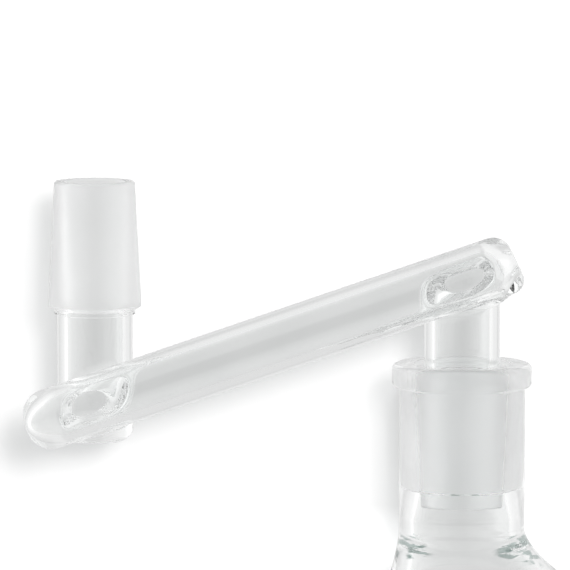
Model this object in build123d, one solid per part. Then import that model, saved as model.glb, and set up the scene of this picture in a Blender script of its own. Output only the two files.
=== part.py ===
from build123d import *
import os
from math import cos, radians, sin, tan

# A clear borosilicate drop adapter seated in the ground socket of a vessel's neck.
# The adapter is a slanted arm tube with two upright stems fused to its back, and each
# stem ends in a frosted standard-taper cone. All sizes are in millimetres.
# Frame: +Z up along the socket and the lower stem, +X from the upper stem towards the
# lower one, +Y towards the stems' side of the arm. The origin is on the socket's axis,
# at the middle of the plain neck that a clamp grips.

# Standard 18.8 mm ground joint, taper 1 in 10 on the diameter
JOINT_R = 9.4
JOINT_LENGTH = 25.3
TAPER = 0.05
TIP_R = JOINT_R - TAPER * JOINT_LENGTH
TIP_ROUND = 0.5
CONE_BORE_TIP_R = 6.3
SEAT_CLEARANCE = 0.03

# Plain ring between a cone and its stem
SHOULDER_HEIGHT = 0.75
RING_R = 8.15
RING_HEIGHT = 1.65

# Stems and arm, drawn tube
STEM_R = 7.65
STEM_BORE_R = 5.65
ARM_R = 6.1
ARM_BORE_R = 4.1
ARM_TILT = 18.86
ARM_OFFSET = 11.6
ARM_LEFT = -58.1
ARM_RIGHT = 46.1
SEAL_WALL = 2.4
ARM_END_WALL = 1.8
SEAL_LENGTH = 7.0
STEM_END_ROUND = 3.0
STEM_BORE_ROUND = 2.6
# The arm's left end is a full dome and its right end is flatter
ARM_ROUNDS = (5.2, 2.4)
ARM_BORE_ROUNDS = (3.8, 2.6)
# A stem's end is named apart from its plain tube at these distances from its closed end
UPPER_END_LENGTH = 3.6
LOWER_END_LENGTH = 12.0

# Socket, neck and the start of the vessel
CLAMP_LENGTH = 28.8
SOCKET_R = 12.75
COLLAR_R = 14.1
COLLAR_HEIGHT = 4.9
COLLAR_ROUND = 1.2
GROUND_DEPTH = 25.5
SEAT_DEPTH = 3.4
NECK_BORE_R = 9.8
NECK_BORE_EASE = 3.0
FLARE_WALL = 1.9
BEAD_RING_R = 11.2
BEAD_R = 1.5
BEAD_DROP = 3.0
FLARE_SPLIT_DROP = 4.6
# The vessel's shoulder leans to +X: drop below the neck, radius and sideways shift
FLARE = [(0.0, 12.75, 0.0), (2.6, 13.45, 0.6), (5.1, 14.4, 1.1), (7.9, 16.1, 2.0), (10.8, 18.4, 3.4)]

# Heights along the socket's axis
NECK_FOOT_Z = -CLAMP_LENGTH / 2
RIM_Z = CLAMP_LENGTH / 2 + COLLAR_HEIGHT
COLLAR_Z = RIM_Z - COLLAR_HEIGHT
GROUND_END_Z = RIM_Z - GROUND_DEPTH
LOWER_CONE_TOP_Z = RIM_Z - SEAT_DEPTH
LOWER_STEM_Z = LOWER_CONE_TOP_Z + RING_HEIGHT
LOWER_TOP_Z = RIM_Z + 21.2
LOWER_TOP_TILT = 17.0

# The upper stem stands this far to the side, and its heights are counted from the rim
STEM_SPACING = 74.2
UPPER_FOOT_Z = RIM_Z - 15.9
UPPER_CONE_Z = RIM_Z + 11.6
UPPER_STEM_TOP_Z = UPPER_CONE_Z - RING_HEIGHT
ARM_Z_AT_SOCKET = RIM_Z + 18.34
ARM_MID_X = -32.78
ARM_MID_Z = ARM_Z_AT_SOCKET + ARM_MID_X * tan(radians(ARM_TILT))

# Throats: the oval holes that join each stem's bore to the arm's bore
THROAT_HALF_LENGTH = 4.8
THROAT_HALF_HEIGHT = 3.0
THROAT_BACK_Y = -3.0
LOWER_THROAT = (0.3, RIM_Z + 17.5)
UPPER_THROAT = (-STEM_SPACING - 1.9, RIM_Z - 7.5)

# Welds: the saddle of glass that fills the crease between the arm and a stem
WELD_HALF_LENGTH = 8.2
WELD_BACK_SCALE = 0.72
WELD_BACK_Y = -2.6
LOWER_WELD_SHIFT = (1.5, -0.2)
LOWER_WELD_HALF_HEIGHT = 6.6
UPPER_WELD_HALF_HEIGHT = 6.2

BIG = 200.0


def turned(*points):
    """Solid of revolution about Z from (radius, height) corners."""
    outline = Polyline(*[(r, 0, z) for r, z in points], close=True)
    return revolve(make_face(outline), Axis.Z)


def post(radius, low, high, x=0.0):
    """Upright cylinder between two heights."""
    return Pos(x, 0, low) * Cylinder(radius, high - low, align=(Align.CENTER, Align.CENTER, Align.MIN))


def socket_bore_r(z):
    """Radius of the ground bore, which runs parallel to the seated cone."""
    return JOINT_R + TAPER * (z - LOWER_CONE_TOP_Z) + SEAT_CLEARANCE


def ground_cone():
    """Frosted cone, wide end at Z = 0 and narrow end up, open through its middle."""
    tip = JOINT_LENGTH
    solid = turned(
        (STEM_BORE_R, 0),
        (JOINT_R, 0),
        (TIP_R, tip),
        (CONE_BORE_TIP_R, tip),
    )
    rims = solid.edges().filter_by(GeomType.CIRCLE).group_by(Axis.Z)[-1]
    return fillet(rims, TIP_ROUND)


def cone_ring():
    """Clear shoulder and ring below a cone's wide end, which is at Z = 0."""
    return turned(
        (STEM_BORE_R, 0),
        (JOINT_R, 0),
        (RING_R, -SHOULDER_HEIGHT),
        (RING_R, -RING_HEIGHT),
        (STEM_BORE_R, -RING_HEIGHT),
    )


def turned_over(solid):
    """The same piece upside down about the X axis."""
    return Rot(180, 0, 0) * solid


# Arm

arm_dir = (cos(radians(ARM_TILT)), 0, sin(radians(ARM_TILT)))
arm_plane = Plane(origin=(ARM_MID_X, -ARM_OFFSET, ARM_MID_Z), x_dir=(0, 1, 0), z_dir=arm_dir)


def arm_rod(radius, low, high):
    """Round bar along the arm's axis between two distances from the arm's reference point."""
    bar = Cylinder(radius, high - low, align=(Align.CENTER, Align.CENTER, Align.MIN))
    return arm_plane * Pos(0, 0, low) * bar


def rounded_rod(radius, low, high, rounds):
    """Round bar along the arm's axis with its left and right end edges rounded."""
    bar = arm_rod(radius, low, high)
    for i, round_r in enumerate(rounds):
        rims = bar.edges().filter_by(GeomType.CIRCLE).sort_by(Axis.X)
        bar = fillet([rims[0] if i == 0 else rims[-1]], round_r)
    return bar


arm_outer = rounded_rod(ARM_R, ARM_LEFT, ARM_RIGHT, ARM_ROUNDS)
arm_cavity = rounded_rod(ARM_BORE_R, ARM_LEFT + ARM_END_WALL, ARM_RIGHT - ARM_END_WALL, ARM_BORE_ROUNDS)


# Stems

def closed_below(radius, low, high, round_r, x):
    """Upright round bar whose lower edge is rounded."""
    bar = post(radius, low, high, x)
    return fillet(bar.edges().filter_by(GeomType.CIRCLE).sort_by(Axis.Z)[:1], round_r)


def closed_above(radius, low, top, round_r):
    """Upright round bar on the socket's axis with a sloping, rounded top."""
    slope = Plane(origin=(0, 0, top), z_dir=(-sin(radians(LOWER_TOP_TILT)), 0, cos(radians(LOWER_TOP_TILT))))
    bar = split(post(radius, low, top + 3 * radius), bisect_by=slope, keep=Keep.BOTTOM)
    return fillet(bar.edges().sort_by(Axis.Z)[-1:], round_r)


upper_outer = closed_below(STEM_R, UPPER_FOOT_Z, UPPER_STEM_TOP_Z, STEM_END_ROUND, -STEM_SPACING)
upper_bore_z = UPPER_FOOT_Z + SEAL_WALL
upper_cavity = closed_below(STEM_BORE_R, upper_bore_z, UPPER_STEM_TOP_Z, STEM_BORE_ROUND, -STEM_SPACING)
lower_outer = closed_above(STEM_R, LOWER_STEM_Z, LOWER_TOP_Z, STEM_END_ROUND)
lower_cavity = closed_above(STEM_BORE_R, LOWER_STEM_Z, LOWER_TOP_Z - SEAL_WALL, STEM_BORE_ROUND)


# Throats and welds

def oval_plane(centre, y):
    """Plane facing +Y whose X direction lies along the arm."""
    return Plane(origin=(centre[0], y, centre[1]), x_dir=arm_dir, z_dir=(0, 1, 0))


def throat(centre):
    """Oval passage from the middle of the arm back into a stem's bore."""
    face = oval_plane(centre, -ARM_OFFSET) * Ellipse(THROAT_HALF_LENGTH, THROAT_HALF_HEIGHT)
    return extrude(face, THROAT_BACK_Y + ARM_OFFSET, dir=(0, 1, 0))


def weld_block(centre, half_height):
    """Oval block, narrowing towards the back, that a weld is cut from."""
    front = oval_plane(centre, -ARM_OFFSET) * Ellipse(WELD_HALF_LENGTH, half_height)
    back_size = (WELD_HALF_LENGTH * WELD_BACK_SCALE, half_height * WELD_BACK_SCALE)
    back = oval_plane(centre, WELD_BACK_Y) * Ellipse(*back_size)
    return loft([front, back])


throats = [throat(LOWER_THROAT), throat(UPPER_THROAT)]
lower_weld_centre = (LOWER_THROAT[0] + LOWER_WELD_SHIFT[0], LOWER_THROAT[1] + LOWER_WELD_SHIFT[1])
weld_cutters = [arm_outer, upper_outer, lower_outer]
lower_weld = weld_block(lower_weld_centre, LOWER_WELD_HALF_HEIGHT) - weld_cutters
upper_weld = weld_block(UPPER_THROAT, UPPER_WELD_HALF_HEIGHT) - weld_cutters

arm_shell = arm_outer - arm_cavity - [upper_outer, lower_outer] - throats
upper_shell = upper_outer - upper_cavity - arm_cavity - throats
lower_shell = lower_outer - lower_cavity - arm_cavity - throats

left_cut = ARM_LEFT + SEAL_LENGTH
right_cut = ARM_RIGHT - SEAL_LENGTH
upper_seal_z = UPPER_FOOT_Z + UPPER_END_LENGTH
lower_seal_z = LOWER_TOP_Z - LOWER_END_LENGTH


# Socket side

def ground_socket():
    """Socket wall between the collar and the end of the ground bore."""
    return turned(
        (socket_bore_r(GROUND_END_Z), GROUND_END_Z),
        (SOCKET_R, GROUND_END_Z),
        (SOCKET_R, COLLAR_Z),
        (socket_bore_r(COLLAR_Z), COLLAR_Z),
    )


def socket_collar():
    """Thick rounded rim at the socket's mouth."""
    solid = turned(
        (socket_bore_r(COLLAR_Z), COLLAR_Z),
        (COLLAR_R, COLLAR_Z),
        (COLLAR_R, RIM_Z),
        (socket_bore_r(RIM_Z), RIM_Z),
    )
    outer_edges = [e for e in solid.edges().filter_by(GeomType.CIRCLE) if e.radius > SOCKET_R]
    return fillet(outer_edges, COLLAR_ROUND)


def neck_tube():
    """Clear neck below the ground bore, which opens out in two steps to the shoulder's thinner wall."""
    return turned(
        (socket_bore_r(GROUND_END_Z), GROUND_END_Z),
        (NECK_BORE_R, GROUND_END_Z - NECK_BORE_EASE),
        (NECK_BORE_R, NECK_FOOT_Z + NECK_BORE_EASE),
        (SOCKET_R - FLARE_WALL, NECK_FOOT_Z),
        (SOCKET_R, NECK_FOOT_Z),
        (SOCKET_R, GROUND_END_Z),
    )


def flare(inset):
    """Solid filling the vessel's shoulder, with its skin moved in by a wall."""
    sections = []
    for drop, radius, shift in FLARE:
        sections.append(Pos(shift, 0, NECK_FOOT_Z - drop) * Circle(radius - inset))
    return loft(sections)


def slab(low, high):
    """Wide block between two heights."""
    return Pos(0, 0, low) * Box(BIG, BIG, high - low, align=(Align.CENTER, Align.CENTER, Align.MIN))


flare_outer = flare(0)
flare_shell = flare_outer - flare(FLARE_WALL)
flare_split_z = NECK_FOOT_Z - FLARE_SPLIT_DROP
flare_foot_z = NECK_FOOT_Z - FLARE[-1][0]
bead = Pos(0, 0, NECK_FOOT_Z - BEAD_DROP) * Torus(BEAD_RING_R, BEAD_R)
neck_weld = (flare_shell & slab(flare_split_z, NECK_FOOT_Z)) + (bead & flare_outer)
vessel_shoulder = flare_shell & slab(flare_foot_z, flare_split_z)


# Assembly, one named piece to a file

lower_cone = Pos(0, 0, LOWER_CONE_TOP_Z) * turned_over(ground_cone())
lower_ring = Pos(0, 0, LOWER_CONE_TOP_Z) * turned_over(cone_ring())
upper_cone = Pos(-STEM_SPACING, 0, UPPER_CONE_Z) * ground_cone()
upper_ring = Pos(-STEM_SPACING, 0, UPPER_CONE_Z) * cone_ring()

pieces = {
    "socket_collar": socket_collar(),
    "ground_socket": ground_socket(),
    "neck_tube": neck_tube(),
    "neck_weld": neck_weld,
    "vessel_shoulder": vessel_shoulder,
    "lower_ground_cone": lower_cone,
    "lower_cone_ring": lower_ring,
    "lower_stem": lower_shell & slab(LOWER_STEM_Z, lower_seal_z),
    "lower_stem_end": lower_shell & slab(lower_seal_z, BIG),
    "lower_weld": lower_weld,
    "arm_tube": arm_shell & arm_rod(2 * ARM_R, left_cut, right_cut),
    "arm_left_end": arm_shell & arm_rod(2 * ARM_R, ARM_LEFT - 1, left_cut),
    "arm_right_end": arm_shell & arm_rod(2 * ARM_R, right_cut, ARM_RIGHT + 1),
    "upper_weld": upper_weld,
    "upper_stem_end": upper_shell & slab(UPPER_FOOT_Z - 1, upper_seal_z),
    "upper_stem": upper_shell & slab(upper_seal_z, UPPER_STEM_TOP_Z),
    "upper_cone_ring": upper_ring,
    "upper_ground_cone": upper_cone,
}

os.makedirs("parts", exist_ok=True)
for name, solid in pieces.items():
    export_step(solid, f"parts/{name}.step")
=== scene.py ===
import math

import bpy
import numpy as np
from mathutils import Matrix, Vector


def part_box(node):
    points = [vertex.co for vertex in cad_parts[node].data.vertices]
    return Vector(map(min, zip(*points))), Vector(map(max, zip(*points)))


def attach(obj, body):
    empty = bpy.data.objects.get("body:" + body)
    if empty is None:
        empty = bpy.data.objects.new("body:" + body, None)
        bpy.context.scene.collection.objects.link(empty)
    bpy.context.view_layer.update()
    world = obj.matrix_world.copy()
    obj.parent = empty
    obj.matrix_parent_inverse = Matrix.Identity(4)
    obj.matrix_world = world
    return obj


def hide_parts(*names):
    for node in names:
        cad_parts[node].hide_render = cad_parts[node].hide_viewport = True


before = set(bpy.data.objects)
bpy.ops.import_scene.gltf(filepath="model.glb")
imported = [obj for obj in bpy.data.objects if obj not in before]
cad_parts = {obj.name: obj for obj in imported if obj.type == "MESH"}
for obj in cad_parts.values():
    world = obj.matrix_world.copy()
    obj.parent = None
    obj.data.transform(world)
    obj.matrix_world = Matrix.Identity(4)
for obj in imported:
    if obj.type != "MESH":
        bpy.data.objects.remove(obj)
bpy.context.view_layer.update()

# Lengths in this script are millimetres, and MM turns them into Blender's metres.
MM = 0.001

# Facts of the glass that the CAD boxes don't give
ARM_END_LENGTH = 7.0
STEM_END_WALL = 2.4
STEM_END_ROUND = 3.0
STEM_WALL = 2.0
ARM_WALL = 2.0
TAPER = 0.05
SEAT_GAP = 0.03

# The arm's sealed ends: the outside's rounds and the lengths of the bore's domed ends, left and
# right, the wall that closes the bore, how far the right face leans and how high it turns about
ARM_ROUNDS = (5.2, 3.2)
BORE_DOMES = (6.5, 4.1)
ARM_END_WALL = 1.7
FACE_LEAN = math.radians(7.0)
FACE_PIVOT = -4.0

# Flame work: how softly the walls run into each other
UPPER_WELD_ROUND = 2.4
LOWER_WELD_ROUND = 3.6
SAG_CENTRE = (2.3, -9.0, -4.6)
SAG_HALF = (6.2, 3.6, 3.1)
SAG_ROUND = 1.5
THROAT_ROUND = 2.0
THROAT_HALF_LENGTH = 4.1
THROAT_HALF_HEIGHT = 2.4
THROAT_BACK_Y = -3.0
LOWER_THROAT_SHIFT = (0.3, -0.9)
UPPER_THROAT_SHIFT = (-1.9, 0.2)
LOWER_TOP_TILT = math.radians(17.0)
THINNEST_WALL = 1.4
THIN_ROUND = 0.5

# Ground joints
SHOULDER_HEIGHT = 0.75
RING_R = 8.15
CONE_TIP_BORE_R = 6.3
EDGE_ROUND = 0.45
STEP_ROUND = 0.18
TIP_ROUND = 0.6
TIP_SEAM = 0.2
BORE_BEND = 4.0

# Socket side
COLLAR_ROUND = 1.2
COLLAR_FOOT_ROUND = 0.95
COLLAR_FILLET = 0.35
RIM_LIP = 1.0
NECK_BORE_R = 9.8
GRINDING_STEP = 0.25
STEP_EDGE_ROUND = 0.08
NECK_BORE_EASE = 6.0
EASE_ROUND = 4.0
FOOT_BAND = 0.7
FOOT_ROUND = 0.3
FLARE_R_POWER = 1.6
FLARE_LEAN_POWER = 1.55
BEAD_DROP = 3.2
BEAD_HEIGHT = 0.8
BEAD_HALF_WIDTH = 1.1
BEAD_LEAST = 0.25

# Air lines drawn out with the arm's tube: where each starts along the arm, its length, its angle
# below the front and its thickness, at a distance from the arm's axis inside the wall
AIR_LINES = ((12.3, 7.3, math.radians(67.0), 0.10), (26.0, 3.4, math.radians(51.0), 0.14))
AIR_LINE_R = 5.1
AIR_LINE_TURNS = 10
AIR_LINE_ROWS = 9

# Meshing
NET_STEP = 0.45
NET_MARGIN = 1.0
STITCH_GAP = 1.2
ARC_STEP = math.radians(15.0)
ROW_LENGTH = 1.6
FLARE_ROW = 0.4
NECK_TURNS = 160


# ---------------------------------------------------------------- sizes read from the frame

def box_mm(node):
    """Lowest and highest corner of a CAD node, in millimetres."""
    low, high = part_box(node)
    return np.array(low) / MM, np.array(high) / MM


def middle(node):
    """Centre of a CAD node's box."""
    low, high = box_mm(node)
    return (low + high) / 2


def half_size(node):
    """Half the size of a CAD node's box."""
    low, high = box_mm(node)
    return (high - low) / 2


def tube_tilt(node, radius):
    """Slope of a straight tube in the XZ plane, worked out from its box."""
    size = 2 * half_size(node)
    tilt = math.atan2(size[2], size[0])
    for _ in range(20):
        rise = size[2] - 2 * radius * math.cos(tilt)
        run = size[0] - 2 * radius * math.sin(tilt)
        tilt = math.atan2(rise, run)
    return tilt, math.hypot(rise, run)


ARM_R = half_size("arm_tube")[1]
ARM_MID = middle("arm_tube")
ARM_TILT, arm_plain_length = tube_tilt("arm_tube", ARM_R)
ARM_HALF = arm_plain_length / 2 + ARM_END_LENGTH
ARM_DIR = np.array([math.cos(ARM_TILT), 0.0, math.sin(ARM_TILT)])
ARM_UP = np.array([-math.sin(ARM_TILT), 0.0, math.cos(ARM_TILT)])
ARM_BORE_R = ARM_R - ARM_WALL

UPPER_X = middle("upper_stem")[0]
STEM_R = half_size("upper_stem")[0]
STEM_BORE_R = STEM_R - STEM_WALL
UPPER_FOOT = box_mm("upper_stem_end")[0][2]
LOWER_TOP = box_mm("lower_stem_end")[1][2]
LOWER_TOP_AXIS_Z = (
    LOWER_TOP
    - (STEM_R - STEM_END_ROUND) * math.tan(LOWER_TOP_TILT)
    - STEM_END_ROUND * (1 - 1 / math.cos(LOWER_TOP_TILT))
)
UPPER_RING = box_mm("upper_cone_ring")
LOWER_RING = box_mm("lower_cone_ring")
UPPER_CONE = box_mm("upper_ground_cone")
LOWER_CONE = box_mm("lower_ground_cone")
JOINT_R = half_size("upper_ground_cone")[0]
UPPER_CUT = UPPER_RING[0][2] - STITCH_GAP
LOWER_CUT = LOWER_RING[1][2] + STITCH_GAP

COLLAR = box_mm("socket_collar")
SOCKET = box_mm("ground_socket")
NECK = box_mm("neck_tube")
SHOULDER = box_mm("vessel_shoulder")
RIM_Z = COLLAR[1][2]
COLLAR_R = half_size("socket_collar")[0]
SOCKET_R = half_size("ground_socket")[0]
GROUND_END = SOCKET[0][2]
NECK_FOOT = NECK[0][2]
SHOULDER_FOOT = SHOULDER[0][2]
SHOULDER_R = half_size("vessel_shoulder")[0]
SHOULDER_LEAN = middle("vessel_shoulder")[0]
RIM_BORE_R = JOINT_R + SEAT_GAP + TAPER * (RIM_Z - LOWER_CONE[1][2])
GROUND_END_R = JOINT_R + SEAT_GAP - TAPER * (LOWER_CONE[1][2] - GROUND_END)


def throat_centre(stem_x, shift):
    """Middle of a throat, beside the arm's axis in front of a stem."""
    x = stem_x + shift[0]
    z = ARM_MID[2] + (x - ARM_MID[0]) * math.tan(ARM_TILT) + shift[1]
    return np.array([x, ARM_MID[1], z])


LOWER_THROAT = throat_centre(0.0, LOWER_THROAT_SHIFT)
UPPER_THROAT = throat_centre(UPPER_X, UPPER_THROAT_SHIFT)


# ---------------------------------------------------------------- distance fields of the adapter

def ellipsoid(q, half):
    """Near-distance to an ellipsoid about the origin of its own axes."""
    near = np.linalg.norm(q / half, axis=1)
    slope = np.linalg.norm(q / (half * half), axis=1)
    return near * (near - 1) / np.maximum(slope, 1e-6)


def join_round(a, b, r):
    """Union of two fields whose crease is filled with a round of radius r."""
    u = np.maximum(r - a, 0)
    v = np.maximum(r - b, 0)
    return np.maximum(r, np.minimum(a, b)) - np.hypot(u, v)


def meet_round(a, b, r):
    """Intersection of two fields whose edge is rounded off."""
    u = np.maximum(r + a, 0)
    v = np.maximum(r + b, 0)
    return np.minimum(-r, np.maximum(a, b)) + np.hypot(u, v)


def in_arm(p):
    """Points in the arm's own axes: along it, towards its back and up."""
    q = p - ARM_MID
    return np.stack([q @ ARM_DIR, q[:, 1], q @ ARM_UP], axis=1)


def right_face(q):
    """Near-distance to the arm's leaning right end face, from points in the arm's own axes."""
    return (q[:, 0] - ARM_HALF) * math.cos(FACE_LEAN) + (q[:, 2] - FACE_PIVOT) * math.sin(FACE_LEAN)


def arm_field(p):
    """The arm's round bar with its left and right ends rounded."""
    q = in_arm(p)
    bar = np.hypot(q[:, 1], q[:, 2]) - ARM_R
    return meet_round(meet_round(bar, -q[:, 0] - ARM_HALF, ARM_ROUNDS[0]), right_face(q), ARM_ROUNDS[1])


def arm_bore_field(p):
    """The arm's bore with its domed ends."""
    q = in_arm(p)
    into_dome = 0.0
    for face, length in zip((-q[:, 0] - ARM_HALF, right_face(q)), BORE_DOMES):
        into_dome = into_dome + np.maximum(face + ARM_END_WALL + length, 0) / length
    return np.sqrt((into_dome * ARM_BORE_R) ** 2 + q[:, 1] ** 2 + q[:, 2] ** 2) - ARM_BORE_R


def sag_field(p):
    """The weld's glass that sagged below the arm in front of the lower stem."""
    x, y, up = SAG_CENTRE
    along = (x - ARM_MID[0]) / math.cos(ARM_TILT)
    return ellipsoid(in_arm(p) - np.array([along, y - ARM_MID[1], up]), np.array(SAG_HALF))


def upper_stem_field(p, radius, inset, round_r):
    """Upright bar through the upper stem, closed below."""
    across = np.hypot(p[:, 0] - UPPER_X, p[:, 1]) - radius
    below = UPPER_FOOT + inset - p[:, 2]
    return meet_round(across, below, round_r)


def lower_stem_field(p, radius, inset, round_r):
    """Upright bar through the lower stem, closed above by a sloping top."""
    across = np.hypot(p[:, 0], p[:, 1]) - radius
    above = (p[:, 2] - LOWER_TOP_AXIS_Z) * math.cos(LOWER_TOP_TILT) - p[:, 0] * math.sin(LOWER_TOP_TILT)
    return meet_round(across, above + inset, round_r)


def throat_field(p, centre):
    """Oval passage along Y between the arm's bore and a stem's bore."""
    q = p - centre
    u = (q @ ARM_DIR) / THROAT_HALF_LENGTH
    v = (q @ ARM_UP) / THROAT_HALF_HEIGHT
    scale = np.hypot(u, v)
    slope = np.hypot(u / THROAT_HALF_LENGTH, v / THROAT_HALF_HEIGHT)
    oval = scale * (scale - 1) / np.maximum(slope, 1e-6)
    ends = np.maximum(ARM_MID[1] - p[:, 1], p[:, 1] - THROAT_BACK_Y)
    return np.maximum(oval, ends)


def outer_field(p):
    """Outside of the fused adapter between its two cones."""
    arm = arm_field(p)
    upper = upper_stem_field(p, STEM_R, 0.0, STEM_END_ROUND)
    lower = lower_stem_field(p, STEM_R, 0.0, STEM_END_ROUND)
    fused = join_round(join_round(arm, upper, UPPER_WELD_ROUND), lower, LOWER_WELD_ROUND)
    return join_round(fused, sag_field(p), SAG_ROUND)


def bore_field(p):
    """Everything hollow inside the adapter, with the throats' lips rounded and no wall too thin."""
    arm = arm_bore_field(p)
    upper = upper_stem_field(p, STEM_BORE_R, STEM_END_WALL, STEM_END_ROUND)
    lower = lower_stem_field(p, STEM_BORE_R, STEM_END_WALL, STEM_END_ROUND)
    hollow = join_round(arm, throat_field(p, UPPER_THROAT), THROAT_ROUND)
    hollow = join_round(hollow, throat_field(p, LOWER_THROAT), THROAT_ROUND)
    hollow = join_round(hollow, upper, THROAT_ROUND)
    hollow = join_round(hollow, lower, THROAT_ROUND)
    return meet_round(hollow, outer_field(p) + THINNEST_WALL, THIN_ROUND)


def glass_field(p):
    """Signed distance to the adapter's glass, negative inside the wall."""
    return np.maximum(outer_field(p), -bore_field(p))


# ---------------------------------------------------------------- meshing a field

def in_slabs(field, points, slab=400000):
    """The field at many points, worked out a slab at a time to save memory."""
    return np.concatenate([field(points[i:i + slab]) for i in range(0, len(points), slab)])


def slope_of(field, p, reach=0.02):
    """Unit outward normals of a field."""
    slope = np.empty_like(p)
    for k in range(3):
        step = np.zeros(3)
        step[k] = reach
        slope[:, k] = field(p + step) - field(p - step)
    return slope / np.maximum(np.linalg.norm(slope, axis=1, keepdims=True), 1e-9)


def onto(field, p, rounds=3):
    """Points moved along the slope onto the field's surface."""
    for _ in range(rounds):
        p = p - slope_of(field, p) * field(p)[:, None]
    return p


def edges_of(quads):
    """Each undirected edge of the quads, with how many quads share it."""
    pairs = np.concatenate([quads[:, [i, (i + 1) % 4]] for i in range(4)])
    return np.unique(np.sort(pairs, axis=1), axis=0, return_counts=True)


def open_rim(quads):
    """Numbers of the points on the quads' open edges."""
    edges, shared = edges_of(quads)
    return np.unique(edges[shared == 1])


def net_cells(inside, wanted):
    """Index of each grid cell the surface passes through, and -1 elsewhere."""
    a, b, c = np.array(inside.shape) - 1
    corners = sum(
        inside[i:a + i, j:b + j, k:c + k].astype(np.int8)
        for i in (0, 1) for j in (0, 1) for k in (0, 1)
    )
    mixed = (corners > 0) & (corners < 8) & wanted
    index = np.full(mixed.shape, -1, np.int64)
    index[mixed] = np.arange(mixed.sum())
    return mixed, index


def net_quads(inside, index):
    """Quads round every grid edge that crosses the surface, facing outwards."""
    found = []
    for axis in range(3):
        a = np.moveaxis(inside, axis, 0)
        cell = np.moveaxis(index, axis, 0)
        i, j, k = np.nonzero((a[1:] != a[:-1])[:, 1:-1, 1:-1])
        quads = np.stack([cell[i, j, k], cell[i, j + 1, k], cell[i, j + 1, k + 1], cell[i, j, k + 1]], axis=1)
        flip = a[i, j + 1, k + 1] ^ (axis != 1)
        quads[flip] = quads[flip][:, ::-1]
        found.append(quads)
    quads = np.concatenate(found)
    return quads[(quads >= 0).all(1)]


def surface_net(field, low, high, step, keep):
    """Even quad mesh of a field's surface inside a box, where keep is true."""
    counts = np.ceil((high - low) / step).astype(int) + 1
    axes = [low[i] + step * np.arange(counts[i]) for i in range(3)]
    grid = np.stack(np.meshgrid(*axes, indexing="ij"), axis=-1).reshape(-1, 3)
    inside = (in_slabs(field, grid) < 0).reshape(counts)
    centres = (grid + step / 2).reshape(*counts, 3)[:-1, :-1, :-1]
    mixed, index = net_cells(inside, keep(centres))
    quads = net_quads(inside, index)
    points = centres[mixed]
    used = np.unique(quads)
    renumber = np.full(len(points), -1, np.int64)
    renumber[used] = np.arange(len(used))
    return onto(field, points[used]), renumber[quads]


def relax(field, points, quads, fixed, rounds=8):
    """Evens the quads out along the surface, leaving the fixed points where they are."""
    edges, _ = edges_of(quads)
    degree = np.bincount(edges.ravel(), minlength=len(points))[:, None]
    for _ in range(rounds):
        total = np.zeros_like(points)
        np.add.at(total, edges[:, 0], points[edges[:, 1]])
        np.add.at(total, edges[:, 1], points[edges[:, 0]])
        moved = onto(field, 0.5 * points + 0.5 * total / degree, 1)
        points = np.where(fixed[:, None], points, moved)
    return points


# ---------------------------------------------------------------- turned shapes

def unit(v):
    """A vector's direction."""
    return v / np.linalg.norm(v)


def arc_between(corner, back, ahead, radius):
    """Points and tangents of the round that cuts a corner, from unit directions in and out."""
    turn = math.acos(max(-1.0, min(1.0, float(back @ ahead))))
    start = corner - back * radius * math.tan(turn / 2)
    side = unit(ahead - back * float(back @ ahead))
    centre = start + side * radius
    rows = max(2, math.ceil(turn / ARC_STEP))
    found = []
    for i in range(rows + 1):
        angle = turn * i / rows
        point = centre - side * radius * math.cos(angle) + back * radius * math.sin(angle)
        found.append((point, back * math.cos(angle) + side * math.sin(angle)))
    return found


def rounded_path(corners):
    """Points and tangents of the path through (radius, height, round) corners."""
    spots = [np.array(corner[:2], float) for corner in corners]
    points, tangents = [spots[0]], [unit(spots[1] - spots[0])]
    for i in range(1, len(spots)):
        back = unit(spots[i] - spots[i - 1])
        bend = [(spots[i], back)]
        if i < len(spots) - 1:
            bend = arc_between(spots[i], back, unit(spots[i + 1] - spots[i]), corners[i][2])
        gap = bend[0][0] - points[-1]
        rows = max(1, round(float(np.linalg.norm(gap)) / ROW_LENGTH))
        for _ in range(1, rows):
            points.append(points[-1] + gap / rows)
            tangents.append(back)
        for point, tangent in bend:
            points.append(point)
            tangents.append(tangent)
    return np.array(points), np.array(tangents)


def even_angles(count):
    """Angles of points spread evenly round a ring."""
    return -math.pi + math.tau * (np.arange(count) + 0.5) / count


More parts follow.
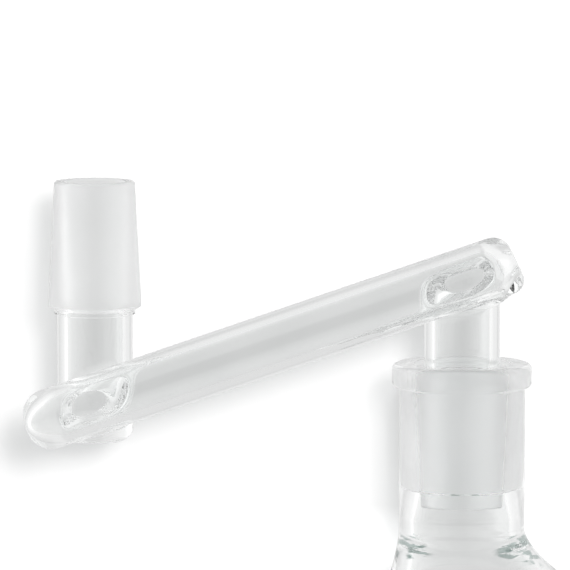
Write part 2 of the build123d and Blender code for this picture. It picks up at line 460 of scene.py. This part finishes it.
class Skin:
    """One closed glass surface, gathered from fields and turned paths."""

    def __init__(self):
        self.points = []
        self.normals = []
        self.faces = []
        self.ground = []
        self.count = 0

    def add_points(self, points, normals):
        """Adds points and returns their numbers."""
        self.points.append(points)
        self.normals.append(normals)
        first = self.count
        self.count += len(points)
        return np.arange(first, self.count)

    def add_faces(self, faces, ground=False):
        """Adds faces, clear or ground."""
        self.faces.extend(np.asarray(faces).tolist())
        self.ground.extend([ground] * len(faces))

    def add_ring(self, spot, tangent, angles, centre, lean, bead):
        """Adds one ring of a turned path and returns the numbers of its points."""
        (r, z), (tr, tz) = spot, tangent
        aside, aside_slope = lean(z) if lean else (0.0, 0.0)
        proud, proud_slope = bead(z, angles) if bead else (0.0, 0.0)
        x = centre + aside + (r - proud) * np.cos(angles)
        ring = np.stack([x, (r - proud) * np.sin(angles), np.full(len(angles), z)], axis=1)
        rise = -tr - (aside_slope * np.cos(angles) - proud_slope) * tz
        normal = np.stack([tz * np.cos(angles), tz * np.sin(angles), rise], axis=1)
        return self.add_points(ring, normal / np.linalg.norm(normal, axis=1, keepdims=True))

    def turn(self, path, angles, centre=0.0, lean=None, bead=None, start=None, end=None, ground=None):
        """Rings along a path round an upright axis. Returns the numbers of the first and last ring.

        The outside is on the right of the path's direction, seen with r to the right and z up.
        start and end are rings of numbers that the path's first and last points already have.
        lean gives the axis's sideways shift and its slope at a height.
        bead gives how far the glass stands in from the path at a height and at the angles, and its slope.
        ground is the (lowest, highest) z between which the faces are ground glass.
        """
        points, tangents = path
        rings = [None] * len(points)
        rings[0], rings[-1] = start, end
        for i, spot in enumerate(points):
            if rings[i] is None:
                rings[i] = self.add_ring(spot, tangents[i], angles, centre, lean, bead)
            if i == 0:
                continue
            z_middle = (points[i - 1][1] + spot[1]) / 2
            frosted = ground is not None and ground[0] < z_middle < ground[1]
            below, above = rings[i - 1], rings[i]
            quads = np.stack([below, np.roll(below, -1), np.roll(above, -1), above], axis=1)
            self.add_faces(quads, frosted)
        return rings[0], rings[-1]

    def zip_rings(self, inner, outer, facing_up, ground):
        """Closes the flat band between two evenly spread rings with different numbers of points."""
        a, b = len(inner), len(outer)
        i = j = 0
        faces = []
        while i < a or j < b:
            if (i + 1) * b <= (j + 1) * a:
                faces.append((inner[i % a], outer[j % b], inner[(i + 1) % a]))
                i += 1
            else:
                faces.append((inner[i % a], outer[j % b], outer[(j + 1) % b]))
                j += 1
        if not facing_up:
            faces = [face[::-1] for face in faces]
        self.add_faces(faces, ground)

    def make(self, name, clear, ground):
        """The Blender object, with the exact normals of its fields and paths."""
        mesh = bpy.data.meshes.new(name)
        mesh.from_pydata((np.concatenate(self.points) * MM).tolist(), [], self.faces)
        mesh.materials.append(clear)
        mesh.materials.append(ground)
        mesh.polygons.foreach_set("material_index", [int(flag) for flag in self.ground])
        mesh.polygons.foreach_set("use_smooth", [True] * len(self.faces))
        mesh.update()
        mesh.normals_split_custom_set_from_vertices(np.concatenate(self.normals).tolist())
        made = bpy.data.objects.new(name, mesh)
        bpy.context.scene.collection.objects.link(made)
        return made


# ---------------------------------------------------------------- the adapter's glass

def even_loop(points, rim, centre_x, radius, z):
    """Numbers of one open ring's points, in order and moved to even angles on an exact circle."""
    spots = points[rim]
    across = np.hypot(spots[:, 0] - centre_x, spots[:, 1])
    loop = rim[np.abs(across - radius) < STEM_WALL / 2]
    order = np.argsort(np.arctan2(points[loop, 1], points[loop, 0] - centre_x))
    loop = loop[order]
    angles = even_angles(len(loop))
    points[loop, 0] = centre_x + radius * np.cos(angles)
    points[loop, 1] = radius * np.sin(angles)
    points[loop, 2] = z
    return loop


class Cone:
    """A ground cone's heights and radii. way is +1 where it points up and -1 where it points down."""

    def __init__(self, cone, ring, cut, way):
        low, high = cone[0][2], cone[1][2]
        self.wide, self.tip = (low, high) if way > 0 else (high, low)
        self.ring_end = ring[0][2] if way > 0 else ring[1][2]
        self.cut = cut
        self.way = way
        self.tip_r = JOINT_R - TAPER * (high - low)
        self.tip_middle_r = (self.tip_r + CONE_TIP_BORE_R) / 2

    def outside(self):
        """Corners from the stem's cut over the ring and the ground cone to the middle of its tip."""
        return [
            (STEM_R, self.cut, 0),
            (STEM_R, self.ring_end, STEP_ROUND),
            (RING_R, self.ring_end, STEP_ROUND),
            (RING_R, self.wide - self.way * SHOULDER_HEIGHT, EDGE_ROUND),
            (JOINT_R, self.wide, EDGE_ROUND),
            (self.tip_r, self.tip, TIP_ROUND),
            (self.tip_middle_r + TIP_SEAM / 2, self.tip, 0),
        ]

    def inside(self):
        """Corners from the middle of the tip through the bore back to the stem's cut."""
        return [
            (self.tip_middle_r - TIP_SEAM / 2, self.tip, 0),
            (CONE_TIP_BORE_R, self.tip, TIP_ROUND),
            (STEM_BORE_R, self.wide, BORE_BEND),
            (STEM_BORE_R, self.cut, 0),
        ]


def add_cone(skin, cone, centre_x, outer_loop, bore_loop):
    """Carries a stem's two open rings on over its ground cone and closes them at the tip."""
    ground = (min(cone.wide, cone.tip), max(cone.wide, cone.tip))
    outer = {"angles": even_angles(len(outer_loop)), "centre": centre_x, "ground": ground}
    bore = {"angles": even_angles(len(bore_loop)), "centre": centre_x}
    outside, inside = cone.outside(), cone.inside()
    if cone.way > 0:
        _, outer_tip = skin.turn(rounded_path(outside), start=outer_loop, **outer)
        inner_tip, _ = skin.turn(rounded_path(inside), end=bore_loop, **bore)
    else:
        _, inner_tip = skin.turn(rounded_path(inside[::-1]), start=bore_loop, **bore)
        outer_tip, _ = skin.turn(rounded_path(outside[::-1]), end=outer_loop, **outer)
    skin.zip_rings(inner_tip, outer_tip, cone.way > 0, True)


def beyond_cuts(centres):
    """True where the stems' far ends are left to the turned cones."""
    x, z = centres[..., 0], centres[..., 2]
    upper = (x < UPPER_X + 2 * STEM_R) & (z > UPPER_CUT)
    lower = (x > -2 * STEM_R) & (z < LOWER_CUT)
    return upper | lower


def add_air_line(skin, start, length, angle, radius):
    """A thin closed hollow inside the arm's wall, pointed at both ends."""
    around = even_angles(AIR_LINE_TURNS)
    centre = ARM_MID + ARM_UP * (-AIR_LINE_R * math.sin(angle))
    centre = centre + np.array([0.0, -AIR_LINE_R * math.cos(angle), 0.0])
    outward = np.outer(np.cos(around), [0.0, 1.0, 0.0]) + np.outer(np.sin(around), ARM_UP)
    rings = []
    for along in np.cos(np.linspace(math.pi, 0, AIR_LINE_ROWS + 2))[1:-1]:
        spot = centre + ARM_DIR * (start + length * (1 + along) / 2)
        rings.append(skin.add_points(spot + outward * radius * math.sqrt(1 - along * along), -outward))
    for first, second in zip(rings, rings[1:]):
        skin.add_faces(np.stack([first, second, np.roll(second, -1), np.roll(first, -1)], axis=1))
    for ring, end, way in ((rings[0], start, 1), (rings[-1], start + length, -1)):
        tip = skin.add_points((centre + ARM_DIR * end)[None], way * ARM_DIR[None])[0]
        after = np.roll(ring, -1)
        sides = (ring, after) if way > 0 else (after, ring)
        skin.add_faces([(tip, a, b) for a, b in zip(*sides)])


def adapter_skin():
    """The whole adapter: two stems and an arm fused into one piece, with a ground cone at each end."""
    low = np.minimum(box_mm("arm_left_end")[0], box_mm("upper_stem_end")[0]) - NET_MARGIN
    high = np.maximum(box_mm("arm_right_end")[1], box_mm("lower_stem_end")[1]) + NET_MARGIN
    points, quads = surface_net(glass_field, low, high, NET_STEP, lambda c: ~beyond_cuts(c))
    rim = open_rim(quads)
    stems = ((UPPER_X, UPPER_CUT), (0.0, LOWER_CUT))
    at_stem = [rim[np.abs(points[rim, 0] - x) < STEM_R + NET_STEP] for x, _ in stems]
    loops = [
        (even_loop(points, near, x, STEM_R, z), even_loop(points, near, x, STEM_BORE_R, z))
        for near, (x, z) in zip(at_stem, stems)
    ]
    fixed = np.zeros(len(points), bool)
    fixed[rim] = True
    points = relax(glass_field, points, quads, fixed)
    skin = Skin()
    skin.add_points(points, slope_of(glass_field, points))
    skin.add_faces(quads)
    add_cone(skin, Cone(UPPER_CONE, UPPER_RING, UPPER_CUT, 1), UPPER_X, *loops[0])
    add_cone(skin, Cone(LOWER_CONE, LOWER_RING, LOWER_CUT, -1), 0.0, *loops[1])
    for line in AIR_LINES:
        add_air_line(skin, *line)
    return skin


# ---------------------------------------------------------------- the neck's glass

def flare_lean(z):
    """Sideways shift of the vessel's shoulder at a height, and how fast it changes."""
    height = NECK_FOOT - SHOULDER_FOOT
    t = max(0.0, (NECK_FOOT - z) / height)
    shift = SHOULDER_LEAN * t ** FLARE_LEAN_POWER
    slope = -SHOULDER_LEAN * FLARE_LEAN_POWER * t ** (FLARE_LEAN_POWER - 1) / height
    return shift, slope


def flare_outside(z):
    """Radius of the shoulder's outside at a height."""
    t = max(0.0, (NECK_FOOT - z) / (NECK_FOOT - SHOULDER_FOOT))
    return SOCKET_R + (SHOULDER_R - SOCKET_R) * t ** FLARE_R_POWER


def radius_slope(radius_at, z, reach=0.01):
    """How fast a radius that is a function of the height changes at a height."""
    return (radius_at(z + reach) - radius_at(z - reach)) / (2 * reach)


def flare_inside(z):
    """Radius of the shoulder's inside at a height."""
    slope = radius_slope(flare_outside, z)
    return flare_outside(z) - (SOCKET_R - NECK_BORE_R) * math.hypot(1, slope)


def weld_bead(z, angles):
    """How far the weld's bead stands in from the shoulder's inside, most at the two sides, and its slope."""
    from_top = (z - NECK_FOOT + BEAD_DROP) / BEAD_HALF_WIDTH
    share = BEAD_LEAST + (1 - BEAD_LEAST) * np.cos(angles) ** 2
    height = BEAD_HEIGHT * share * math.exp(-from_top * from_top)
    return height, -2 * from_top / BEAD_HALF_WIDTH * height


def curved_path(radius_at, z_from, z_to):
    """Points and tangents of a path whose radius is a function of the height."""
    rows = math.ceil(abs(z_to - z_from) / FLARE_ROW)
    heights = np.linspace(z_from, z_to, rows + 1)
    points = np.array([(radius_at(z), z) for z in heights])
    way = 1.0 if z_to > z_from else -1.0
    slopes = [radius_slope(radius_at, z) for z in heights]
    return points, np.array([unit(np.array([slope * way, way])) for slope in slopes])


def collar_path():
    """The neck's outside from the shoulder up over the collar to the middle of the rim."""
    return rounded_path([
        (SOCKET_R, NECK_FOOT, 0),
        (SOCKET_R, COLLAR[0][2], COLLAR_FILLET),
        (COLLAR_R, COLLAR[0][2], COLLAR_FOOT_ROUND),
        (COLLAR_R, RIM_Z, COLLAR_ROUND),
        ((RIM_BORE_R + COLLAR_R) / 2, RIM_Z, 0),
    ])


def bore_path():
    """From the middle of the rim down through the ground bore and the neck to the shoulder."""
    return rounded_path([
        ((RIM_BORE_R + COLLAR_R) / 2, RIM_Z, 0),
        (RIM_BORE_R, RIM_Z, RIM_LIP),
        (GROUND_END_R, GROUND_END, STEP_EDGE_ROUND),
        (GROUND_END_R + GRINDING_STEP, GROUND_END - GRINDING_STEP, STEP_EDGE_ROUND),
        (NECK_BORE_R, GROUND_END - NECK_BORE_EASE, EASE_ROUND),
        (NECK_BORE_R, NECK_FOOT, 0),
    ])


def foot_path(band_top):
    """Round the cut edge at the shoulder's foot."""
    return rounded_path([
        (flare_inside(band_top), band_top, 0),
        (flare_inside(SHOULDER_FOOT), SHOULDER_FOOT, FOOT_ROUND),
        (flare_outside(SHOULDER_FOOT), SHOULDER_FOOT, FOOT_ROUND),
        (flare_outside(band_top), band_top, 0),
    ])


def neck_skin():
    """The ground socket with its collar, the neck below it and the start of the vessel's shoulder."""
    skin = Skin()
    angles = even_angles(NECK_TURNS)
    band_top = SHOULDER_FOOT + FOOT_BAND
    ground = (GROUND_END, RIM_Z - RIM_LIP)
    outside = curved_path(flare_outside, band_top, NECK_FOOT)
    inside = curved_path(flare_inside, NECK_FOOT, band_top)
    first, ring = skin.turn(outside, angles, lean=flare_lean)
    _, ring = skin.turn(collar_path(), angles, start=ring)
    _, ring = skin.turn(bore_path(), angles, start=ring, ground=ground)
    _, ring = skin.turn(inside, angles, lean=flare_lean, bead=weld_bead, start=ring)
    skin.turn(foot_path(band_top), angles, lean=flare_lean, start=ring, end=first)
    return skin


# ---------------------------------------------------------------- materials

SHADOW_TINT = (0.81, 0.815, 0.815, 1.0)
GLASS_IOR = 1.474

# Painted shade: dark marks in the clear glass's colour, on the front at the neck weld's two sides
# and in dashes where the ground bore ends. Each pair says where a limit starts to show them and where
# it shows them in full. The weld's painted shade spreads up and down by a share of its distance to the side.
WELD_SHADE_Z = NECK_FOOT - BEAD_DROP
WELD_SHADE_SPREAD = 0.28
WELD_SHADE_EDGE = (-0.9, -1.3)
WELD_SHADE_LEAST_X = (5.6, 7.6)
WELD_SHADE_MOST_X = (26.0, 22.0)
WELD_SHADE_FRONT_Y = (1.0, -3.0)
# Painted shade in dashes where the ground bore ends
DASHES_TOP_Z = (GROUND_END + 0.05, GROUND_END - 0.05)
DASHES_FOOT_Z = (GROUND_END - 0.38, GROUND_END - 0.22)
DASHES_LEAST_R = (8.1, 8.4)
DASHES_MOST_R = (11.5, 11.0)
# Colour of the painted shade
PAINTED_SHADE_TINT = (0.24, 0.31, 0.29, 1.0)

# Each finish's darkest and lightest tint, and its least and most roughness
CLEAR_TINTS = ((0.95, 0.958, 0.956, 1), (0.975, 0.981, 0.979, 1))
CLEAR_ROUGH = (0.0, 0.02)
GROUND_TINTS = ((0.965, 0.968, 0.968, 1), (0.99, 0.992, 0.993, 1))
GROUND_ROUGH = (0.38, 0.52)

# How deep the bumps are, in metres: the drawn tube's waves, and the ground faces' grit and rings
WAVES_DEPTH = 0.00006
GRIT_DEPTH = 0.00001


def add_node(tree, kind, links=None, **values):
    """A shader node with its sockets linked or set. Names in links and values are socket names."""
    node = tree.nodes.new(kind)
    for name, value in values.items():
        if name.startswith("node_"):
            setattr(node, name[5:], value)
        else:
            node.inputs[name.replace("_", " ")].default_value = value
    for name, source in (links or {}).items():
        tree.links.new(source, node.inputs[name])
    return node


def empty_material(name):
    """A material without nodes, and its tree."""
    made = bpy.data.materials.new(name)
    made.use_nodes = True
    made.node_tree.nodes.clear()
    return made, made.node_tree


def noise(tree, place, scale, detail=2.0, stretch=(1, 1, 1)):
    """Noise with a size in waves per metre, stretched along a direction."""
    mapping = add_node(tree, "ShaderNodeMapping", {"Vector": place}, Scale=stretch)
    made = add_node(tree, "ShaderNodeTexNoise", {"Vector": mapping.outputs[0]}, Scale=scale, Detail=detail)
    return made.outputs["Fac"]


def spread(tree, source, low, high):
    """A noise's middle range spread between two values."""
    limits = {"From_Min": 0.3, "From_Max": 0.7, "To_Min": low, "To_Max": high}
    made = add_node(tree, "ShaderNodeMapRange", {"Value": source}, **limits)
    return made.outputs["Result"]


def ramp_between(tree, source, start, full):
    """Goes smoothly from 0 to 1 as a value goes from start to full."""
    made = add_node(
        tree,
        "ShaderNodeMapRange",
        {"Value": source},
        node_interpolation_type="SMOOTHSTEP",
        From_Min=min(start, full),
        From_Max=max(start, full),
        To_Min=0.0 if start < full else 1.0,
        To_Max=1.0 if start < full else 0.0,
    )
    return made.outputs["Result"]


def combined(tree, operation, first, second=0.0):
    """A math operation on a source and a second one, which may be a plain number."""
    made = add_node(tree, "ShaderNodeMath", node_operation=operation)
    tree.links.new(first, made.inputs[0])
    if isinstance(second, float):
        made.inputs[1].default_value = second
    else:
        tree.links.new(second, made.inputs[1])
    return made.outputs[0]


def between(tree, source, dark, light):
    """A colour between two colours, chosen by a noise."""
    ramp = add_node(tree, "ShaderNodeValToRGB", {"Fac": source})
    ramp.color_ramp.elements[0].position, ramp.color_ramp.elements[1].position = 0.35, 0.65
    ramp.color_ramp.elements[0].color, ramp.color_ramp.elements[1].color = dark, light
    return ramp.outputs["Color"]


def within(tree, marks, *limits):
    """Marks kept only where each (source, start, full) limit has gone to 1."""
    for source, (start, full) in limits:
        marks = combined(tree, "MULTIPLY", marks, ramp_between(tree, source, start * MM, full * MM))
    return marks


def painted_shade(tree, place):
    """1 where shade is painted: swirled on the front at the neck weld's two sides, and in dashes where the
    ground bore ends.
    """
    x, y, z = add_node(tree, "ShaderNodeSeparateXYZ", {"Vector": place}).outputs
    aside = combined(tree, "ABSOLUTE", x)
    from_weld = combined(tree, "ABSOLUTE", combined(tree, "SUBTRACT", z, WELD_SHADE_Z * MM))
    spread_z = combined(tree, "SUBTRACT", from_weld, combined(tree, "MULTIPLY", aside, WELD_SHADE_SPREAD))
    # Painted shade, swirled, on the front of the weld at its two sides
    weld_shade = ramp_between(tree, noise(tree, place, 420.0, 4.0, stretch=(0.5, 0.5, 2.6)), 0.48, 0.56)
    sides = ((aside, WELD_SHADE_LEAST_X), (aside, WELD_SHADE_MOST_X), (y, WELD_SHADE_FRONT_Y))
    weld_shade = within(tree, weld_shade, *sides, (spread_z, WELD_SHADE_EDGE))

    across = combined(tree, "MULTIPLY", x, x)
    ahead = combined(tree, "MULTIPLY", y, y)
    radius = combined(tree, "SQRT", combined(tree, "ADD", across, ahead))
    # Painted shade in dashes just below where the ground bore ends
    dashes = ramp_between(tree, noise(tree, place, 380.0, 2.0), 0.50, 0.60)
    heights = ((z, DASHES_TOP_Z), (z, DASHES_FOOT_Z))
    dashes = within(tree, dashes, *heights, (radius, DASHES_LEAST_R), (radius, DASHES_MOST_R))
    return combined(tree, "ADD", weld_shade, dashes)


def glass_output(tree, shader):
    """Ends a glass material: lamps shine through it, a little dimmed."""
    path = add_node(tree, "ShaderNodeLightPath")
    clear = add_node(tree, "ShaderNodeBsdfTransparent", Color=SHADOW_TINT)
    mix = add_node(tree, "ShaderNodeMixShader", {"Fac": path.outputs["Is Shadow Ray"]})
    tree.links.new(shader.outputs[0], mix.inputs[1])
    tree.links.new(clear.outputs[0], mix.inputs[2])
    add_node(tree, "ShaderNodeOutputMaterial", {"Surface": mix.outputs[0]})


def clear_glass():
    """Borosilicate tube, drawn and flame worked: faint waves along the tubes and a trace of green."""
    made, tree = empty_material("clear_glass")
    place = add_node(tree, "ShaderNodeTexCoord").outputs["Object"]
    waves = noise(tree, place, 70.0)
    bump = add_node(tree, "ShaderNodeBump", {"Height": waves}, Strength=0.2, Distance=WAVES_DEPTH)
    clean = between(tree, waves, *CLEAR_TINTS)
    # Painted shade mixed into the clear glass's colour
    tint = add_node(tree, "ShaderNodeMix", node_data_type="RGBA")
    tree.links.new(painted_shade(tree, place), tint.inputs[0])
    tree.links.new(clean, tint.inputs[6])
    tint.inputs[7].default_value = PAINTED_SHADE_TINT
    rough = spread(tree, noise(tree, place, 130.0, 4.0), *CLEAR_ROUGH)
    shader = add_node(
        tree,
        "ShaderNodeBsdfPrincipled",
        {"Base Color": tint.outputs[2], "Roughness": rough, "Normal": bump.outputs[0]},
        IOR=GLASS_IOR,
        Transmission_Weight=1.0,
    )
    glass_output(tree, shader)
    return made


def ground_glass():
    """Glass ground with fine grit: a matt, milky skin with faint rings from the turning tool."""
    made, tree = empty_material("ground_glass")
    place = add_node(tree, "ShaderNodeTexCoord").outputs["Object"]
    grit = noise(tree, place, 7000.0, 2.0)
    rings = noise(tree, place, 500.0, 2.0, stretch=(0.05, 0.05, 1))
    patches = noise(tree, place, 110.0, 3.0)
    bump_rings = add_node(tree, "ShaderNodeBump", {"Height": rings}, Strength=0.15, Distance=GRIT_DEPTH)
    both = {"Height": grit, "Normal": bump_rings.outputs[0]}
    bump = add_node(tree, "ShaderNodeBump", both, Strength=0.3, Distance=GRIT_DEPTH)
    tint = between(tree, patches, *GROUND_TINTS)
    rough = spread(tree, patches, *GROUND_ROUGH)
    shader = add_node(
        tree,
        "ShaderNodeBsdfPrincipled",
        {"Base Color": tint, "Roughness": rough, "Normal": bump.outputs[0]},
        IOR=GLASS_IOR,
        Transmission_Weight=1.0,
    )
    glass_output(tree, shader)
    return made


# ---------------------------------------------------------------- the object

def piece(skin, name, body, finishes, nodes):
    """Makes a skin's object, which rides on a body and stands for CAD nodes."""
    made = skin.make(name, *finishes)
    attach(made, body)
    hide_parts(*nodes)
    return made


ADAPTER_NODES = (
    "lower_ground_cone", "lower_cone_ring", "lower_stem", "lower_stem_end", "lower_weld", "arm_tube",
    "arm_left_end", "arm_right_end", "upper_weld", "upper_stem_end", "upper_stem", "upper_cone_ring",
    "upper_ground_cone",
)
NECK_NODES = ("socket_collar", "ground_socket", "neck_tube", "neck_weld", "vessel_shoulder")

finishes = (clear_glass(), ground_glass())
piece(adapter_skin(), "drop_adapter", "adapter", finishes, ADAPTER_NODES)
piece(neck_skin(), "socket_neck", "socket_side", finishes, NECK_NODES)


# ---------------------------------------------------------------- stage, lights and camera

MOST_BOUNCES = 40
STAGE_HALF = 2.0
WALL_HEIGHT = 1.6
WALL_GAP = 0.012
COVE_R = 0.011
COVE_ROWS = 12
WALL_GLOW = 0.17
FLOOR_GLOW = 0.57
STAGE_COLOUR = (0.35, 0.35, 0.35, 1)

# The studio's brightness by direction: how much each panel adds, and for one or more components of
# the direction, where the panel starts and where it is full
STUDIO_SEEN = 1.05
STUDIO_GREY = 0.69
STUDIO_PANELS = (
    (0.08, ("X", -0.08, -0.25)),
    (0.12, ("X", -0.25, -0.60)),
    (0.28, ("X", -0.60, -0.90)),
    (0.18, ("X", 0.10, 0.28), ("Z", -0.34, -0.20)),
    (0.13, ("X", 0.50, 0.90)),
    (0.025, ("Z", -0.070, -0.045)),
    (0.04, ("Z", -0.156, -0.21)),
    (0.03, ("Z", -0.21, -0.34)),
    (0.06, ("Z", 0.10, 0.50)),
    (0.13, ("Z", 0.78, 0.83), ("Z", 0.97, 0.93), ("X", -0.235, -0.265)),
    (-0.28, ("Y", -0.78, -0.92)),
)

CAMERA_LENS = 344.0
CAMERA_DISTANCE = 1.1
CAMERA_PITCH = math.radians(6.0)
AIM_SIDE = 1.3
AIM_ABOVE_RIM = 15.8

KEY_SIZE = 0.17
KEY_ASIDE = (0.16, 0.13)
KEY_POWER = 25.0


def stage_material():
    """Pale matt sheet that also glows a little, so that it stays white. Its back is clear."""
    made, tree = empty_material("pale_stage")
    shape = add_node(tree, "ShaderNodeNewGeometry").outputs
    level = add_node(tree, "ShaderNodeSeparateXYZ", {"Vector": shape["Normal"]}).outputs["Z"]
    glow = add_node(
        tree, "ShaderNodeMapRange", {"Value": level}, To_Min=WALL_GLOW, To_Max=FLOOR_GLOW
    ).outputs["Result"]
    shine = add_node(tree, "ShaderNodeEmission", {"Strength": glow}, Color=(1, 1, 1, 1))
    matt = add_node(tree, "ShaderNodeBsdfDiffuse", Color=STAGE_COLOUR)
    front = add_node(tree, "ShaderNodeAddShader")
    tree.links.new(shine.outputs[0], front.inputs[0])
    tree.links.new(matt.outputs[0], front.inputs[1])
    mix = add_node(tree, "ShaderNodeMixShader", {"Fac": shape["Backfacing"]})
    clear = add_node(tree, "ShaderNodeBsdfTransparent")
    tree.links.new(front.outputs[0], mix.inputs[1])
    tree.links.new(clear.outputs[0], mix.inputs[2])
    add_node(tree, "ShaderNodeOutputMaterial", {"Surface": mix.outputs[0]})
    return made


def sheet_of(name, corners, quads, material):
    """A stage sheet in metres that casts no shadow and lights nothing."""
    mesh = bpy.data.meshes.new(name)
    mesh.from_pydata(corners, [], quads)
    mesh.materials.append(material)
    mesh.polygons.foreach_set("use_smooth", [True] * len(quads))
    made = bpy.data.objects.new(name, mesh)
    bpy.context.scene.collection.objects.link(made)
    made.visible_diffuse = False
    made.visible_shadow = False
    return made


def build_stage():
    """A floor under the vessel's shoulder that turns up into a wall close behind it, for the soft shadow.

    Only the camera sees it: the glass shows the room instead.
    """
    floor_z = SHOULDER_FOOT * MM
    wall_y = SHOULDER_R * MM + WALL_GAP
    profile = [(-STAGE_HALF, floor_z)]
    for i in range(COVE_ROWS + 1):
        angle = math.pi / 2 * i / COVE_ROWS
        y = wall_y - COVE_R + COVE_R * math.sin(angle)
        profile.append((y, floor_z + COVE_R - COVE_R * math.cos(angle)))
    profile.append((wall_y, floor_z + WALL_HEIGHT))
    corners = [(x, y, z) for y, z in profile for x in (-STAGE_HALF, STAGE_HALF)]
    quads = [(2 * i, 2 * i + 1, 2 * i + 3, 2 * i + 2) for i in range(len(profile) - 1)]
    sheet = sheet_of("stage_sheet", corners, quads, stage_material())
    sheet.visible_glossy = False
    sheet.visible_transmission = False


def build_world():
    """The studio that the glass shows: pale, brighter at the sides and overhead, dim round the lens."""
    world = bpy.data.worlds.new("studio")
    world.use_nodes = True
    tree = world.node_tree
    tree.nodes.clear()
    direction = add_node(tree, "ShaderNodeTexCoord").outputs["Generated"]
    parts = add_node(tree, "ShaderNodeSeparateXYZ", {"Vector": direction}).outputs
    level = None
    for amount, *edges in STUDIO_PANELS:
        panel = None
        for axis, start, full in edges:
            share = ramp_between(tree, parts[axis], start, full)
            panel = combined(tree, "MULTIPLY", share, panel or amount)
        level = combined(tree, "ADD", panel, level or STUDIO_GREY)
    seen = add_node(
        tree,
        "ShaderNodeMapRange",
        {"Value": add_node(tree, "ShaderNodeLightPath").outputs["Is Camera Ray"], "To Min": level},
        To_Max=STUDIO_SEEN,
    )
    glow = add_node(tree, "ShaderNodeBackground", {"Strength": seen.outputs["Result"]}, Color=(1, 1, 1, 1))
    add_node(tree, "ShaderNodeOutputWorld", {"Surface": glow.outputs[0]})
    bpy.context.scene.world = world


def lamp(name, place, aim, size, power):
    """An area lamp of (width, height) metres turned towards a point."""
    data = bpy.data.lights.new(name, "AREA")
    data.shape = "RECTANGLE"
    data.size, data.size_y = size
    data.energy = power
    made = bpy.data.objects.new(name, data)
    made.location = place
    made.rotation_euler = (Vector(aim) - Vector(place)).to_track_quat("-Z", "Y").to_euler()
    bpy.context.scene.collection.objects.link(made)
    made.visible_camera = False
    return made


def build_camera():
    """A long lens from the front, a little above the object."""
    aim = Vector((UPPER_X / 2 + AIM_SIDE, 0, RIM_Z + AIM_ABOVE_RIM)) * MM
    back = Vector((0, -math.cos(CAMERA_PITCH), math.sin(CAMERA_PITCH)))
    data = bpy.data.cameras.new("camera")
    data.lens = CAMERA_LENS
    made = bpy.data.objects.new("camera", data)
    made.location = aim + back * CAMERA_DISTANCE
    made.rotation_euler = (-back).to_track_quat("-Z", "Y").to_euler()
    bpy.context.scene.collection.objects.link(made)
    bpy.context.scene.camera = made
    return made, aim


def build_key(camera, aim):
    """The lamp beside the lens that casts the soft shadow. It doesn't show in the glass."""
    place = camera.location + Vector((KEY_ASIDE[0], 0, KEY_ASIDE[1]))
    key = lamp("key", place, aim, (KEY_SIZE, KEY_SIZE), KEY_POWER)
    key.visible_glossy = False
    key.visible_transmission = False


build_stage()
build_world()
camera, aim = build_camera()
build_key(camera, aim)
scene = bpy.context.scene
scene.view_settings.view_transform = "Standard"
scene.cycles.max_bounces = MOST_BOUNCES
scene.cycles.transmission_bounces = MOST_BOUNCES
scene.cycles.glossy_bounces = MOST_BOUNCES
scene.cycles.transparent_max_bounces = MOST_BOUNCES
